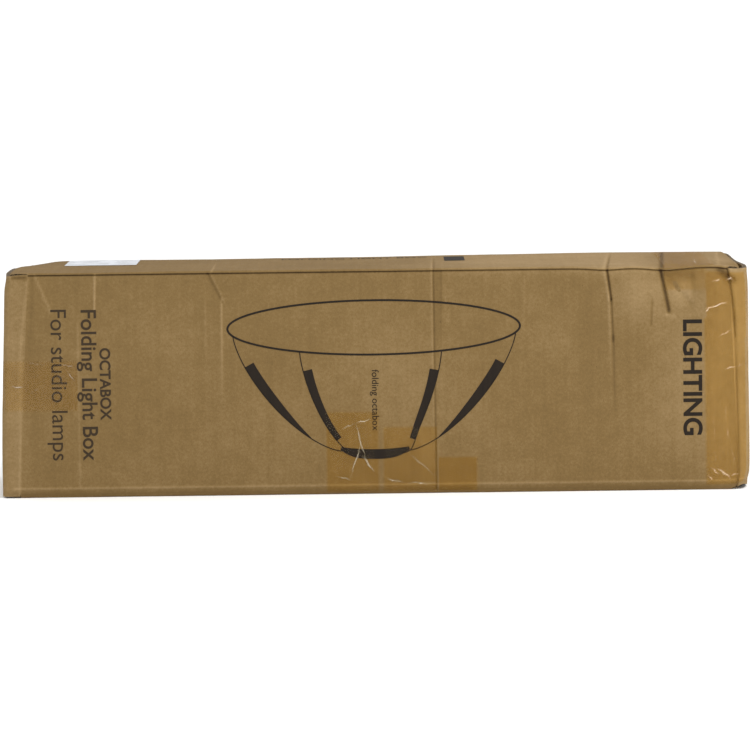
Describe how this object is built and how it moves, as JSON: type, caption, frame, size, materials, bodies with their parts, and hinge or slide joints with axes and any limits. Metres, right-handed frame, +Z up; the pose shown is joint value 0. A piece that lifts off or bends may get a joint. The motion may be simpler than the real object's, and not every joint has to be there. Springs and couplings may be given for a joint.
{
  "type": "boxed octagonal softbox",
  "caption": "Long taped corrugated carton with folding end flaps, holding an octagonal softbox folded round its lamp ring, with its diffusers, grid and bag.",
  "frame": {"origin": "middle of the carton's base", "axes": "+Z up, +X along the carton to the end where the lamp ring lies, -Y to the printed front"},
  "size_m": [0.7244, 0.1912, 0.2185],
  "materials": {
    "kraft_board": "matte",
    "packing_tape": "gloss",
    "label_paper": "satin",
    "black_fabric": "matte",
    "diffuser_fabric": "matte",
    "black_metal": "satin",
    "black_plastic": "matte",
    "steel": "satin",
    "red_plastic": "satin",
    "booklet_paper": "matte"
  },
  "bodies": {
    "carton": {"front_panel": "kraft_board", "back_panel": "kraft_board", "top_panel": "kraft_board", "bottom_panel": "kraft_board", "glue_tab": "kraft_board", "left_tape_on_front_panel": "packing_tape", "left_tape_on_back_panel": "packing_tape", "right_tape_on_front_panel": "packing_tape", "right_tape_on_top_panel": "packing_tape", "top_tape_on_front_panel": "packing_tape", "lower_tape_left": "packing_tape", "lower_tape_middle": "packing_tape", "lower_tape_right": "packing_tape", "shipping_label": "label_paper", "hub_plate": "black_plastic", "ring_retainer": "black_metal", "retainer_screw_1": "steel", "retainer_screw_2": "steel", "retainer_screw_3": "steel", "retainer_screw_4": "steel", "rib_1": "steel", "rib_2": "steel", "rib_3": "steel", "rib_4": "steel", "rib_5": "steel", "rib_6": "steel", "rib_7": "steel", "rib_8": "steel", "rib_hinge_pin_1": "steel", "rib_hinge_pin_2": "steel", "rib_hinge_pin_3": "steel", "rib_hinge_pin_4": "steel", "rib_hinge_pin_5": "steel", "rib_hinge_pin_6": "steel", "rib_hinge_pin_7": "steel", "rib_hinge_pin_8": "steel", "folded_canopy": "black_fabric", "hub_end_strap": "black_fabric", "rim_end_strap": "black_fabric", "honeycomb_grid": "black_fabric", "front_diffuser": "diffuser_fabric", "inner_diffuser": "diffuser_fabric", "carry_bag": "black_fabric", "user_manual": "booklet_paper"},
    "right_front_flap": {"right_front_flap": "kraft_board", "right_seam_tape_front": "packing_tape", "right_tape_on_front_flap": "packing_tape"},
    "right_back_flap": {"right_back_flap": "kraft_board", "right_seam_tape_back": "packing_tape"},
    "right_top_dust_flap": {"right_top_dust_flap": "kraft_board"},
    "right_bottom_dust_flap": {"right_bottom_dust_flap": "kraft_board"},
    "left_front_flap": {"left_front_flap": "kraft_board", "left_tape_on_front_flap": "packing_tape"},
    "left_back_flap": {"left_back_flap": "kraft_board", "left_tape_on_back_flap": "packing_tape"},
    "left_top_dust_flap": {"left_top_dust_flap": "kraft_board"},
    "left_bottom_dust_flap": {"left_bottom_dust_flap": "kraft_board"},
    "bayonet_ring": {"bayonet_ring": "black_metal"},
    "release_button_left": {"release_button_left": "red_plastic"},
    "release_button_right": {"release_button_right": "red_plastic"}
  },
  "joints": [
    {"name": "right_front_flap_fold", "type": "hinge", "parent": "carton", "child": "right_front_flap", "pos_m": [0.3616, -0.095, 0.109], "axis": [0, 0, -1], "range_deg": [0, 240]},
    {"name": "right_back_flap_fold", "type": "hinge", "parent": "carton", "child": "right_back_flap", "pos_m": [0.3616, 0.095, 0.109], "axis": [0, 0, 1], "range_deg": [0, 240]},
    {"name": "right_top_dust_flap_fold", "type": "hinge", "parent": "carton", "child": "right_top_dust_flap", "pos_m": [0.3543, 0, 0.218], "axis": [0, -1, 0], "range_deg": [0, 80]},
    {"name": "right_bottom_dust_flap_fold", "type": "hinge", "parent": "carton", "child": "right_bottom_dust_flap", "pos_m": [0.3543, 0, 0], "axis": [0, 1, 0], "range_deg": [0, 80]},
    {"name": "left_front_flap_fold", "type": "hinge", "parent": "carton", "child": "left_front_flap", "pos_m": [-0.3616, -0.095, 0.109], "axis": [0, 0, 1], "range_deg": [0, 240]},
    {"name": "left_back_flap_fold", "type": "hinge", "parent": "carton", "child": "left_back_flap", "pos_m": [-0.3616, 0.095, 0.109], "axis": [0, 0, -1], "range_deg": [0, 240]},
    {"name": "left_top_dust_flap_fold", "type": "hinge", "parent": "carton", "child": "left_top_dust_flap", "pos_m": [-0.3543, 0, 0.218], "axis": [0, 1, 0], "range_deg": [0, 80]},
    {"name": "left_bottom_dust_flap_fold", "type": "hinge", "parent": "carton", "child": "left_bottom_dust_flap", "pos_m": [-0.3543, 0, 0], "axis": [0, -1, 0], "range_deg": [0, 80]},
    {"name": "bayonet_ring_turn", "type": "hinge", "parent": "carton", "child": "bayonet_ring", "pos_m": [0.31, 0, 0.0885], "axis": [1, 0, 0], "continuous": true},
    {"name": "release_button_left_press", "type": "slide", "parent": "carton", "child": "release_button_left", "axis": [0, 0.7071, -0.7071], "range_m": [0, 0.003], "stiffness_N_per_m": 400},
    {"name": "release_button_right_press", "type": "slide", "parent": "carton", "child": "release_button_right", "axis": [0, -0.7071, -0.7071], "range_m": [0, 0.003], "stiffness_N_per_m": 400}
  ],
  "couplings": [
    {"joint": "right_back_flap_fold", "follows": "right_front_flap_fold", "ratio": 1},
    {"joint": "right_top_dust_flap_fold", "follows": "right_front_flap_fold", "ratio": 0.33333},
    {"joint": "right_bottom_dust_flap_fold", "follows": "right_front_flap_fold", "ratio": 0.33333},
    {"joint": "left_back_flap_fold", "follows": "left_front_flap_fold", "ratio": 1},
    {"joint": "left_top_dust_flap_fold", "follows": "left_front_flap_fold", "ratio": 0.33333},
    {"joint": "left_bottom_dust_flap_fold", "follows": "left_front_flap_fold", "ratio": 0.33333}
  ]
}
